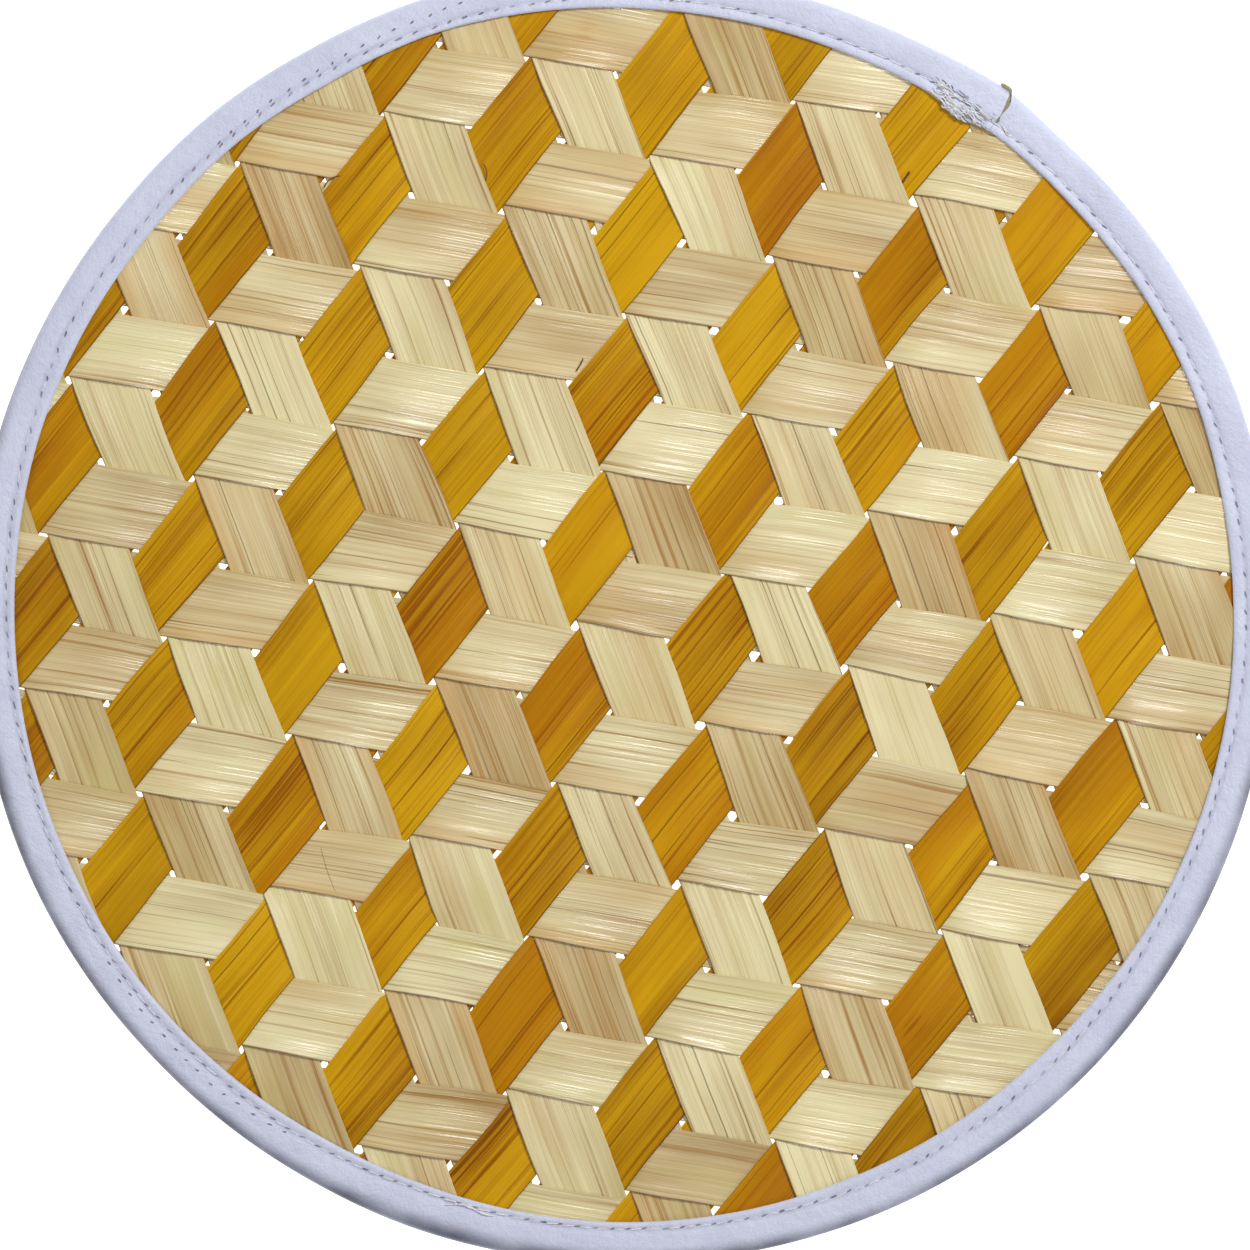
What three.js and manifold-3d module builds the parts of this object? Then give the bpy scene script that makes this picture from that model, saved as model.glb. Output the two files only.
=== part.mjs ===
// A round placemat woven from flat bamboo strips in three directions, its cut edge bound with a folded tape.
// Millimetres, +Z up. The mat lies on z = 0 with its centre on the Z axis.
// Seen from above, +X is to the right and +Y is up.
import * as THREE from 'three';
import { mergeVertices } from 'three/addons/utils/BufferGeometryUtils.js';
import Module from 'manifold-3d';

const wasm = await Module();
wasm.setup();

// The bamboo strips, the spaces beside them and the levels on which they cross
const STRIP_THICKNESS = 0.4;
const STRIP_SPACE = 2.0;
const LEVEL_PITCH = 0.75;
const BEND_HALF_WIDTH = 0.42;
const WEAVE_RADIUS = 146.5;
const WEAVE_SIDES = 96;
const NARROWEST_STRIP = 3;

// The grid of corners at which the spaces between the strips cross: a step along the level strips, a step
// down the steep strips, and the corner next to the middle at which six visible diamonds meet
const STEP_ACROSS = { length: 20.8, angle: -9.8 };
const STEP_DOWN = { length: 21.2, angle: -69.4 };
const STAR_CORNER = { x: -10.8, y: -2.6 };

// The folded edge tape, and the place where its two ends meet
const TAPE_THICKNESS = 0.5;
const TAPE_CLEARANCE = 0.3;
const TAPE_STEPS = 96;
const FOLD_STEPS = 4;
const TAPE_JOINT = { angle: 54, outerGap: 1.4, innerGap: 0.4 };

// The tape's outer edge and the width of its sides, as uneven as sewn, round from the right-hand side
const TAPE_EDGE = [
  { angle: 0.0, radius: 150.1, width: 9.5 },
  { angle: 22.5, radius: 150.4, width: 9.3 },
  { angle: 45.0, radius: 149.9, width: 9.5 },
  { angle: 67.5, radius: 149.3, width: 9.0 },
  { angle: 90.0, radius: 149.6, width: 8.7 },
  { angle: 112.5, radius: 150.0, width: 8.6 },
  { angle: 135.0, radius: 150.2, width: 9.1 },
  { angle: 157.5, radius: 150.5, width: 9.4 },
  { angle: 180.0, radius: 150.2, width: 9.7 },
  { angle: 202.5, radius: 149.7, width: 9.8 },
  { angle: 225.0, radius: 149.2, width: 9.3 },
  { angle: 247.5, radius: 149.4, width: 10.4 },
  { angle: 270.0, radius: 149.6, width: 9.6 },
  { angle: 292.5, radius: 150.0, width: 9.8 },
  { angle: 315.0, radius: 150.2, width: 10.2 },
  { angle: 337.5, radius: 150.3, width: 9.7 },
];

// Half heights that follow from the levels, and the height of the weave's middle over the ground
const WEAVE_HALF = LEVEL_PITCH + STRIP_THICKNESS / 2;
const TAPE_INNER_HALF = WEAVE_HALF + TAPE_CLEARANCE;
const TAPE_OUTER_HALF = TAPE_INNER_HALF + TAPE_THICKNESS;
const MIDDLE_HEIGHT = TAPE_OUTER_HALF;

// Colours and finishes
const finish = (color, roughness) => new THREE.MeshStandardMaterial({ color, roughness, metalness: 0 });
const POLISHED_BAMBOO = finish(0xe2d6a8, 0.35);
const PLAIN_BAMBOO = finish(0xd3c494, 0.55);
const GOLD_BAMBOO = finish(0xc9981c, 0.45);
const PALE_TAPE = finish(0xcfd2e6, 0.5);

// The grid: a place in it is counted in steps down, p, and steps across, q, from the star corner
const ORIGIN = new THREE.Vector2(0, 0);
const step = ({ length, angle }) => {
  return new THREE.Vector2(length, 0).rotateAround(ORIGIN, THREE.MathUtils.degToRad(angle));
};
const down = step(STEP_DOWN);
const across = step(STEP_ACROSS);
const starCorner = new THREE.Vector2(STAR_CORNER.x, STAR_CORNER.y);
const gridArea = down.cross(across);
const gridMiddle = {
  p: -starCorner.cross(across) / gridArea,
  q: -down.cross(starCorner) / gridArea,
};

// The three families of strips. A family lies between the lines on which p * lineP + q * lineQ is a whole
// number. Along each strip the lines of the two other families take turns, half a step apart, and the lines of
// the family that crossedBy names first are whole steps from the strip's start.
const FAMILIES = {
  level: { lineP: 1, lineQ: 0, start: (c) => ({ p: c, q: 0 }), crossedBy: ['steep', 'gold'] },
  steep: { lineP: 0, lineQ: 1, start: (c) => ({ p: 0, q: c }), crossedBy: ['level', 'gold'] },
  gold: { lineP: 1, lineQ: 1, start: (c) => ({ p: c, q: 0 }), crossedBy: ['steep', 'level'] },
};
const lineValue = (family, { p, q }) => family.lineP * p + family.lineQ * q;
for (const family of Object.values(FAMILIES)) {
  const stepAlong = across.clone().multiplyScalar(family.lineP).addScaledVector(down, -family.lineQ);
  family.pitch = Math.abs(gridArea) / stepAlong.length();
}

// A place in a family's direction, that many steps from where its line of that value starts
function placeAlong(family, value, steps) {
  const start = family.start(value);
  return { p: start.p - family.lineQ * steps, q: start.q + family.lineP * steps };
}

// The point at which a line of one family crosses a line of another
function crossingPoint(familyA, valueA, familyB, valueB) {
  const determinant = familyA.lineP * familyB.lineQ - familyA.lineQ * familyB.lineP;
  const p = (valueA * familyB.lineQ - familyA.lineQ * valueB) / determinant;
  const q = (familyA.lineP * valueB - valueA * familyB.lineP) / determinant;
  return starCorner.clone().addScaledVector(down, p).addScaledVector(across, q);
}

// The weave: the level, from -1 to 1, on which a family's strip lies at a place. Each family goes over one of
// the two others at every third crossing only, and each strip shows as a diamond where it is on top.
const everyThird = (number) => (THREE.MathUtils.euclideanModulo(number, 3) === 0 ? 1 : 0);
function levelAt(name, place) {
  const [level, steep, gold] = Object.values(FAMILIES).map((family) => Math.floor(lineValue(family, place)));
  const steepOverLevel = everyThird(level - steep);
  const goldOverSteep = everyThird(steep + gold + 1);
  const levelOverGold = everyThird(level + gold + 1);
  if (name === 'level') return levelOverGold - steepOverLevel;
  if (name === 'steep') return steepOverLevel - goldOverSteep;
  return goldOverSteep - levelOverGold;
}

// A closed solid through a row of sections with the same number of points. The outline is the section drawn
// flat, anticlockwise for someone towards whom the row runs, and fills the two ends.
function loft(sections, outline) {
  const count = outline.length;
  const last = (sections.length - 1) * count;
  const indices = [];
  for (let row = 0; row < last; row += count) {
    for (let i = 0; i < count; i += 1) {
      const next = (i + 1) % count;
      indices.push(row + i, row + next, row + count + next);
      indices.push(row + i, row + count + next, row + count + i);
    }
  }
  for (const [a, b, c] of THREE.ShapeUtils.triangulateShape(outline, [])) {
    indices.push(a, c, b);
    indices.push(last + a, last + b, last + c);
  }
  const geometry = new THREE.BufferGeometry().setFromPoints(sections.flat());
  geometry.setIndex(indices);
  return geometry;
}

// From a geometry to a solid that can be cut, and back
function solidOf(geometry) {
  const bare = geometry.clone();
  bare.deleteAttribute('normal');
  bare.deleteAttribute('uv');
  const merged = mergeVertices(bare, 1e-4);
  const vertProperties = new Float32Array(merged.attributes.position.array);
  const triVerts = new Uint32Array(merged.index.array);
  return new wasm.Manifold(new wasm.Mesh({ numProp: 3, vertProperties, triVerts }));
}
function geometryOf(solid) {
  const { vertProperties, triVerts } = solid.getMesh();
  const geometry = new THREE.BufferGeometry();
  geometry.setAttribute('position', new THREE.BufferAttribute(vertProperties, 3));
  geometry.setIndex(new THREE.BufferAttribute(triVerts, 1));
  geometry.computeVertexNormals();
  return geometry;
}

// The round blank that the weave is trimmed to
const blankGeometry = new THREE.CylinderGeometry(WEAVE_RADIUS, WEAVE_RADIUS, 4 * WEAVE_HALF, WEAVE_SIDES);
blankGeometry.rotateX(Math.PI / 2);
const blank = solidOf(blankGeometry);

// One strip: it keeps its level from space to space, and bends to the next level in the space between two
// strips that it crosses, along the slant of that space
const STRIP_OUTLINE = [[0, 0], [1, 0], [1, 1], [0, 1]].map(([x, y]) => new THREE.Vector2(x, y));

function stripSection(family, number, other, value, level) {
  const inset = STRIP_SPACE / 2 / family.pitch;
  const right = crossingPoint(family, number + 1 - inset, other, value);
  const left = crossingPoint(family, number + inset, other, value);
  const bottom = level * LEVEL_PITCH - STRIP_THICKNESS / 2;
  const top = bottom + STRIP_THICKNESS;
  return [
    new THREE.Vector3(right.x, right.y, bottom),
    new THREE.Vector3(left.x, left.y, bottom),
    new THREE.Vector3(left.x, left.y, top),
    new THREE.Vector3(right.x, right.y, top),
  ];
}

function stripGeometry(name, number) {
  const family = FAMILIES[name];
  const middle = number + 0.5;
  const farHalfSteps = 2 * Math.ceil(2 * WEAVE_RADIUS / across.length());
  const levelBeside = (half, side) => levelAt(name, placeAlong(family, middle, half / 2 + side / 4));
  const sections = [];
  for (let half = -farHalfSteps; half <= farHalfSteps; half += 1) {
    const before = levelBeside(half, -1);
    const after = levelBeside(half, 1);
    const isEnd = Math.abs(half) === farHalfSteps;
    if (before === after && !isEnd) continue;
    const other = FAMILIES[family.crossedBy[Math.abs(half % 2)]];
    const value = Math.round(lineValue(other, placeAlong(family, middle, half / 2)));
    const rise = lineValue(other, { p: -family.lineQ, q: family.lineP });
    const bend = rise * BEND_HALF_WIDTH / other.pitch;
    sections.push(stripSection(family, number, other, value - bend, before));
    sections.push(stripSection(family, number, other, value + bend, after));
  }
  return geometryOf(solidOf(loft(sections, STRIP_OUTLINE)).intersect(blank));
}

// A family of strips, numbered across the mat, without those at its edge that are too narrow to weave
function stripFamily(name, material) {
  const family = FAMILIES[name];
  const group = new THREE.Group();
  const reach = (WEAVE_RADIUS - NARROWEST_STRIP) / family.pitch;
  const middle = lineValue(family, gridMiddle);
  const first = Math.ceil(middle - reach - 1);
  const last = Math.floor(middle + reach);
  for (let number = first; number <= last; number += 1) {
    const strip = new THREE.Mesh(stripGeometry(name, number), material);
    strip.name = `${name}_strip_${String(number - first + 1).padStart(2, '0')}`;
    group.add(strip);
  }
  return group;
}

// The tape: one length folded over the weave's edge, round to where its two ends meet
function tapeGeometry() {
  const closedCurve = new THREE.CatmullRomCurve3(
    TAPE_EDGE.map(({ radius, width }) => new THREE.Vector3(radius, width, 0)),
    true,
    'catmullrom',
    0.5,
  );
  const fold = (radius) => Array.from({ length: FOLD_STEPS + 1 }, (_, i) => {
    const turn = Math.PI * (0.5 + i / FOLD_STEPS);
    return { inset: TAPE_OUTER_HALF + radius * Math.cos(turn), height: radius * Math.sin(turn) };
  });
  const folded = (width) => [
    { inset: width, height: TAPE_OUTER_HALF },
    ...fold(TAPE_OUTER_HALF),
    { inset: width, height: -TAPE_OUTER_HALF },
    { inset: width, height: -TAPE_INNER_HALF },
    ...fold(TAPE_INNER_HALF).reverse(),
    { inset: width, height: TAPE_INNER_HALF },
  ];
  const sections = Array.from({ length: TAPE_STEPS + 1 }, (_, i) => {
    const part = i / TAPE_STEPS;
    const turned = THREE.MathUtils.euclideanModulo(TAPE_JOINT.angle / 360 + part, 1);
    const { x: radius, y: width } = closedCurve.getPoint(turned);
    return folded(width).map(({ inset, height }) => {
      const gap = THREE.MathUtils.lerp(TAPE_JOINT.outerGap, TAPE_JOINT.innerGap, inset / width);
      const angle = turned * 2 * Math.PI + (1 - 2 * part) * gap / 2 / radius;
      const r = radius - inset;
      return new THREE.Vector3(r * Math.cos(angle), r * Math.sin(angle), height);
    });
  });
  const outline = folded(TAPE_EDGE[0].width).map(({ inset, height }) => new THREE.Vector2(inset, height));
  const geometry = loft(sections, outline);
  geometry.computeVertexNormals();
  return geometry;
}

const placemat = new THREE.Group();
placemat.position.z = MIDDLE_HEIGHT;
placemat.add(stripFamily('level', POLISHED_BAMBOO));
placemat.add(stripFamily('steep', PLAIN_BAMBOO));
placemat.add(stripFamily('gold', GOLD_BAMBOO));

const tape = new THREE.Mesh(tapeGeometry(), PALE_TAPE);
tape.name = 'edge_tape';
placemat.add(tape);

export default placemat;
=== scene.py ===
"""A round bamboo placemat: flat strips woven in three directions, its edge bound with a folded vinyl tape.

It is laid out as an add-on and run as a script. The sizes and colours that a user would change stand in
property groups, each group of like pieces has its operator, and a panel in the sidebar lists them.
All lengths are metres. The mat lies on z = 0 with its middle on the Z axis.
"""

import functools
import itertools
import math

import bpy
import numpy as np
from bpy.props import FloatProperty, FloatVectorProperty, PointerProperty
from bpy.types import Operator, Panel, PropertyGroup
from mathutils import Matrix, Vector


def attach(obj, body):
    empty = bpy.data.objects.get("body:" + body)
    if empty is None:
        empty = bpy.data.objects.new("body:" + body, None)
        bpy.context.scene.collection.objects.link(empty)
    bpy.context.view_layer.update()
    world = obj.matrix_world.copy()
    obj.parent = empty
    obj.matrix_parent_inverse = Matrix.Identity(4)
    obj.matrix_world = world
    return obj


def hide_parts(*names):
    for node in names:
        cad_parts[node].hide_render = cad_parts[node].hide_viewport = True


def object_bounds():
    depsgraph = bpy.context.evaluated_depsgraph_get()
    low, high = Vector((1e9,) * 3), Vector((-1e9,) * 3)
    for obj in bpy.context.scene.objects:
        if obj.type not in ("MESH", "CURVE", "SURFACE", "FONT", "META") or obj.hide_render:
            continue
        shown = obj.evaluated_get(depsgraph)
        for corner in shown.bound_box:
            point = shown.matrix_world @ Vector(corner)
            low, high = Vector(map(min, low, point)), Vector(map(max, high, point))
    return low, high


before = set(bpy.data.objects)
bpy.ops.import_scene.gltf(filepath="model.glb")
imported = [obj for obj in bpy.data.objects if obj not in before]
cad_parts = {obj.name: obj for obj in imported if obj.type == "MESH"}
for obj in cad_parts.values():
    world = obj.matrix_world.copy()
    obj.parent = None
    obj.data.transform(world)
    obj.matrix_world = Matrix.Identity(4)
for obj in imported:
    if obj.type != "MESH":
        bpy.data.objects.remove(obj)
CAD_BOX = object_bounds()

bl_info = {
    "name": "Bamboo Placemat",
    "version": (1, 0, 0),
    "blender": (4, 5, 0),
    "location": "View3D > Sidebar > Placemat",
    "description": "Builds the looks of a round placemat woven in three directions",
    "category": "Object",
}

MM = 0.001

# The grid of corners where the spaces between strips cross: its steps down the steep strips and across
# along the level ones, as length and degrees, and the corner next to the middle
STEP_DOWN = (21.2 * MM, -69.4)
STEP_ACROSS = (20.8 * MM, -9.8)
STAR_CORNER = np.array((-10.8, -2.6)) * MM
WEAVE_RADIUS = 146.5 * MM
NARROWEST_STRIP = 3 * MM
MIDDLE_HEIGHT = (CAD_BOX[0].z + CAD_BOX[1].z) / 2


def grid_step(length, degrees):
    """A step of the grid as a flat vector"""
    return length * np.array((math.cos(math.radians(degrees)), math.sin(math.radians(degrees))))


DOWN = grid_step(*STEP_DOWN)
ACROSS = grid_step(*STEP_ACROSS)
GRID_AREA = DOWN[0] * ACROSS[1] - DOWN[1] * ACROSS[0]


def grid_place(points):
    """Steps down, p, and steps across, q, from the star corner to flat points"""
    x, y = (points - STAR_CORNER).T
    p = (x * ACROSS[1] - y * ACROSS[0]) / GRID_AREA
    q = (y * DOWN[0] - x * DOWN[1]) / GRID_AREA
    return p, q


class Family:
    """The strips of one direction. A strip lies between two lines on which line_p * p + line_q * q is a
    whole number, and is woven like the one before it, moved by the steps in repeat."""

    def __init__(self, name, line_p, line_q, repeat):
        self.name = name
        self.line_p = line_p
        self.line_q = line_q
        step_along = ACROSS * line_p - DOWN * line_q
        self.step = np.hypot(*step_along)
        self.along = step_along / self.step
        self.sideways = np.array((self.along[1], -self.along[0]))
        self.pitch = abs(GRID_AREA) / self.step
        self.repeat = DOWN * repeat[0] + ACROSS * repeat[1]
        self.middle = self.line_value(np.zeros((1, 2)))[0]
        reach = (WEAVE_RADIUS - NARROWEST_STRIP) / self.pitch
        self.first = math.ceil(self.middle - reach - 1)
        self.last = math.floor(self.middle + reach)

    def line_value(self, points):
        """On which line of the family flat points lie"""
        p, q = grid_place(points)
        return self.line_p * p + self.line_q * q

    def line_offset(self, number):
        """How far a line of the family passes from the middle of the mat"""
        return (number - self.middle) * self.pitch

    def points(self, along, sideways):
        """Flat points at those distances from the middle of the mat"""
        return along[..., None] * self.along + sideways[..., None] * self.sideways


FAMILIES = {
    "level": Family("level", 1, 0, (1, 1)),
    "steep": Family("steep", 0, 1, (1, 1)),
    "gold": Family("gold", 1, 1, (2, -1)),
}

# How each strip looks, in the order of the strips: its tone, darker below 0 and paler above, its warmth,
# greener below 0 and browner above, and its streaks, how many dark grain lines it has, 0 to 1
STRIP_LOOKS = {
    "level": [
        (0.0, 0.0, 0.3), (0.0, 0.4, 0.2), (0.5, 0.4, 0.2), (-0.5, 0.4, 0.6), (0.2, 0.4, 0.4),
        (0.3, 0.5, 0.3), (1.7, 0.1, 0.2), (1.0, 0.0, 0.3), (0.2, 0.2, 0.5), (0.5, 0.4, 0.3),
        (-0.1, 0.2, 0.3), (0.8, 0.2, 0.6), (0.2, 0.2, 0.4), (1.0, -0.2, 0.4), (1.2, 0.0, 0.2),
        (-1.1, 0.0, 0.3), (-0.3, -0.1, 0.3),
    ],
    "steep": [
        (0.0, 0.3, 0.3), (-1.3, -0.3, 0.1), (-1.0, -0.2, 0.6), (1.0, -0.2, 0.3), (0.1, 0.1, 0.3),
        (0.5, -0.1, 0.3), (-1.3, 0.2, 0.7), (0.7, 0.0, 0.5), (1.3, 0.0, 0.5), (-1.2, 0.2, 0.6),
        (1.3, 0.1, 0.6), (1.2, 0.1, 0.3), (-1.4, 0.2, 0.5), (-0.3, 0.2, 0.7), (0.2, 0.1, 0.2),
        (-1.4, 0.1, 0.2), (-2.2, 0.0, 0.4),
    ],
    "gold": [
        (-0.8, 0.2, 0.3), (-0.8, 0.3, 0.4), (-0.4, 0.2, 0.4), (0.2, 0.1, 0.5), (0.5, 0.0, 0.3),
        (0.2, -0.4, 0.3), (0.2, 0.5, 0.8), (1.6, -0.1, 0.4), (0.0, 0.6, 0.3), (0.1, 0.3, 0.6),
        (0.8, 0.8, 0.4), (0.2, 0.1, 0.4), (-0.6, 0.0, 0.6), (0.8, 0.4, 0.3), (-0.4, 0.8, 0.3),
        (-1.8, -0.4, 0.5), (-0.5, 0.1, 0.4),
    ],
}

# The cut edge of a strip that is darkened by a painted shadow line, on the side away from the light: 0 for
# the left or upper one, 1 for the right or lower one
SHADOW_LINE_SIDE = {"level": 1, "steep": 0, "gold": 1}

# Browner bands along a strip's left or upper edge and along its right or lower one, 0 to 1
BANDS = {
    ("level", 4): (0.2, 1.0),
    ("level", 10): (0.0, 0.6),
    ("level", 13): (0.0, 0.8),
    ("steep", 2): (0.6, 0.0),
    ("steep", 5): (0.9, 0.9),
    ("steep", 7): (0.5, 0.0),
    ("steep", 13): (0.0, 0.6),
    ("gold", 7): (0.0, 0.8),
    ("gold", 11): (0.0, 0.5),
}

# Knots and stains: the family, the place and the size along and across the strip in millimetres, how dark
# with streaks, 0 to 1, and how brown, or below 0 how yellow green
STAINS = [
    ("level", -8.9, 134.9, 5, 4, 0.9, 0.6),
    ("steep", -93.9, -13.8, 6, 4, 0.0, -1.6),
    ("steep", -88.3, -17.6, 5, 4, 0.0, -1.6),
    ("steep", -33.2, -65.7, 8, 5, 0.0, -1.2),
    ("level", -37.8, -76.1, 9, 5, 0.0, -1.2),
    ("gold", -50.0, -6.0, 60, 16, 0.8, 0.3),
    ("gold", -84.0, -46.0, 56, 16, 0.5, 0.0),
    ("gold", -30.9, -123.5, 34, 10, 0.9, 0.4),
    ("gold", 66.9, -94.8, 6, 4, 1.0, 0.4),
    ("gold", 36.0, 100.0, 40, 12, 0.0, 1.2),
]


def linear(hex_colour):
    """An sRGB hex colour as the linear one that Blender's sockets take"""
    values = [int(hex_colour[i : i + 2], 16) / 255 for i in (1, 3, 5)]
    return tuple(v / 12.92 if v <= 0.04045 else ((v + 0.055) / 1.055) ** 2.4 for v in values)


def colour_property(name, description, hex_colour):
    """A colour in a property group"""
    return FloatVectorProperty(
        name=name, description=description, default=linear(hex_colour), subtype="COLOR", size=3, min=0, max=1
    )


def length_property(name, description, length):
    """A length in a property group"""
    return FloatProperty(
        name=name, description=description, default=length, min=0, unit="LENGTH", precision=5
    )


class PlacematWeaveSettings(PropertyGroup):
    """The bamboo strips"""

    thickness: length_property("Thickness", "How thick a strip is", 0.4 * MM)
    space: length_property("Space", "Space between two strips side by side", 1.55 * MM)
    contact: length_property("Contact", "From middle to middle of two strips that press together", 0.43 * MM)
    stray: length_property("Stray", "How far a strip may lie beside its place", 1.0 * MM)
    natural: colour_property("Natural", "Bamboo with its glossy outer skin", "#EEE3B2")
    natural_deep: colour_property("Natural Grain", "The darker grain of natural bamboo", "#A47A36")
    gold: colour_property("Gold", "Bamboo dyed gold", "#DAA60E")
    gold_deep: colour_property("Gold Grain", "The darker grain of dyed bamboo", "#824800")


class PlacematTapeSettings(PropertyGroup):
    """The edge tape and its sewing"""

    thickness: length_property("Thickness", "How thick the vinyl is", 0.45 * MM)
    stitch: length_property("Stitch", "Length of a stitch", 4.0 * MM)
    thread: length_property("Thread", "How thick the thread is", 0.34 * MM)
    vinyl: colour_property("Vinyl", "The tape's colour", "#D5DAF0")
    backing: colour_property("Backing", "The vinyl's woven backing, at its cut ends", "#ABA680")
    thread_colour: colour_property("Thread Colour", "The thread's colour", "#EEEEF4")


class PlacematStageSettings(PropertyGroup):
    """Camera, lamps and floor"""

    camera_height: length_property("Camera Height", "Height of the camera over the floor", 5.0)
    picture_width: length_property("Picture Width", "Width that shows at the mat's height", 288.9 * MM)
    brightness: FloatProperty(name="Brightness", description="Strength of all the lamps", default=1, min=0)


# The relaxed form of the weave

# One repeat of a strip is a grid of heights, which leaves out this share of the width at each edge
GRID_ROWS = 36
GRID_COLUMNS = 8
RELAX_EDGE = 0.05

# How finely, how often and how hard contact is tested, and how much a strip resists bending across,
# twisting and lifting, where bending along is 1
RELAX_SAMPLES = 22
RELAX_ROUNDS = 500
RELAX_STEP = 0.002
BEND_ACROSS = 0.02
TWIST = 0.05
SAG = 0.001


def every_third(number):
    """1 for every third whole number, and 0 for the others"""
    return (np.mod(number, 3) == 0).astype(int)


def weave_levels(p, q):
    """The level, from -1 to 1, on which each family's strip lies at places of the grid"""
    level, steep, gold = np.floor(p), np.floor(q), np.floor(p + q)
    steep_over_level = every_third(level - steep)
    gold_over_steep = every_third(steep + gold + 1)
    level_over_gold = every_third(level + gold + 1)
    return {
        "level": level_over_gold - steep_over_level,
        "steep": steep_over_level - gold_over_steep,
        "gold": gold_over_steep - level_over_gold,
    }


def smooth_weights(part):
    """Weights of a smooth curve through four grid rows, at a place between the middle two"""
    return np.stack((
        ((2 - part) * part - 1) * part / 2,
        ((3 * part - 5) * part * part + 2) / 2,
        ((4 - 3 * part) * part + 1) * part / 2,
        (part - 1) * part * part / 2,
    ), axis=-1)


def grid_shares(family, number, points):
    """The 16 grid points that give a strip's height at each flat point, their weights, and whether the
    strip covers it"""
    away = points - STAR_CORNER - np.asarray(number)[..., None] * family.repeat
    row = np.mod(away @ family.along / (3 * family.step), 1) * GRID_ROWS
    part = away @ family.sideways / family.pitch
    column = (part - RELAX_EDGE) / (1 - 2 * RELAX_EDGE) * (GRID_COLUMNS - 1)
    covered = (column >= 0) & (column <= GRID_COLUMNS - 1)
    column = np.clip(column, 0, GRID_COLUMNS - 1.001)
    near = np.arange(-1, 3)
    rows = (row.astype(int)[:, None] + near) % GRID_ROWS
    columns = np.clip(column.astype(int)[:, None] + near, 0, GRID_COLUMNS - 1)
    numbers = rows[:, :, None] * GRID_COLUMNS + columns[:, None, :]
    weights = smooth_weights(row % 1)[:, :, None] * smooth_weights(column % 1)[:, None, :]
    return numbers.reshape(len(points), 16), weights.reshape(len(points), 16), covered


def squared(numbers, weights, size):
    """The matrix of a sum of squares, each of a weighted sum of the unknowns with those numbers"""
    pairs = numbers[:, :, None] * size + numbers[:, None, :]
    products = weights[:, :, None] * weights[:, None, :]
    return np.bincount(pairs.ravel(), products.ravel(), size * size).reshape(size, size)


def bending_terms(family):
    """The energy that bends, twists and lifts one repeat of a strip, as weighted sums that are squared"""
    row_step = 3 * family.step / GRID_ROWS / MM
    column_step = family.pitch * (1 - 2 * RELAX_EDGE) / (GRID_COLUMNS - 1) / MM
    cell = row_step * column_step
    number = np.arange(GRID_ROWS * GRID_COLUMNS).reshape(GRID_ROWS, GRID_COLUMNS)
    after, before = np.roll(number, -1, axis=0), np.roll(number, 1, axis=0)
    left, middle, right = number[:, :-2], number[:, 1:-1], number[:, 2:]
    return [
        ((before, number, after), (1, -2, 1), cell / row_step**4),
        ((left, middle, right), (1, -2, 1), BEND_ACROSS * cell / column_step**4),
        ((number[:, :-1], after[:, :-1], number[:, 1:], after[:, 1:]), (1, -1, -1, 1), 2 * TWIST / cell),
        ((number,), (1,), SAG * cell),
    ]


@functools.lru_cache
def relaxed_heights(contact):
    """Heights of each family's strips over one repeat, so that springy strips just touch where they cross,
    by rounds of the alternating direction method"""
    size = GRID_ROWS * GRID_COLUMNS
    parts = (np.arange(3 * RELAX_SAMPLES) + 0.5) / RELAX_SAMPLES
    p, q = (a.ravel() for a in np.meshgrid(parts[:RELAX_SAMPLES], parts))
    points = STAR_CORNER + p[:, None] * DOWN + q[:, None] * ACROSS
    levels = weave_levels(p, q)
    shares = {}
    for place, (name, family) in enumerate(FAMILIES.items()):
        line = np.floor(family.line_p * p + family.line_q * q)
        numbers, weights, covered = grid_shares(family, line, points)
        shares[name] = (numbers + place * size, weights, covered)
    numbers, weights = [], []
    for over, under in itertools.permutations(shares, 2):
        pressed = (levels[over] > levels[under]) & shares[over][2] & shares[under][2]
        numbers.append(np.hstack((shares[over][0], shares[under][0]))[pressed])
        weights.append(np.hstack((shares[over][1], -shares[under][1]))[pressed])
    numbers, weights = np.concatenate(numbers), np.concatenate(weights)
    energy = RELAX_STEP * squared(numbers, weights, 3 * size)
    for place, family in enumerate(FAMILIES.values()):
        for parts, factors, weight in bending_terms(family):
            term = np.stack([part.ravel() for part in parts], axis=1) + place * size
            energy += weight * squared(term, np.broadcast_to(np.array(factors, float), term.shape), 3 * size)
    answer = RELAX_STEP * np.linalg.inv(energy)
    target = contact / MM
    wanted = np.full(len(numbers), target)
    push = np.zeros(len(numbers))
    for _ in range(RELAX_ROUNDS):
        load = np.bincount(numbers.ravel(), (weights * (wanted - push)[:, None]).ravel(), 3 * size)
        heights = answer @ load
        gap = (weights * heights[numbers]).sum(axis=1)
        wanted = np.maximum(gap + push, target)
        push += gap - wanted
    return dict(zip(FAMILIES, heights.reshape(3, size) * MM))


def strip_heights(family, number, points, contact):
    """Height over the mat's middle plane of points on a strip"""
    numbers, weights, _ = grid_shares(family, number, points)
    return (weights * relaxed_heights(contact)[family.name][numbers]).sum(axis=1)


# Making meshes

# Bends sharper than this stay edges, in degrees
SHEET_BEND = 40
SHELL_BEND = 60


def bell(distance, reach=1):
    """1 at no distance, and falling smoothly to 0 beyond the reach"""
    return np.exp(-((distance / reach) ** 2))


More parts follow.
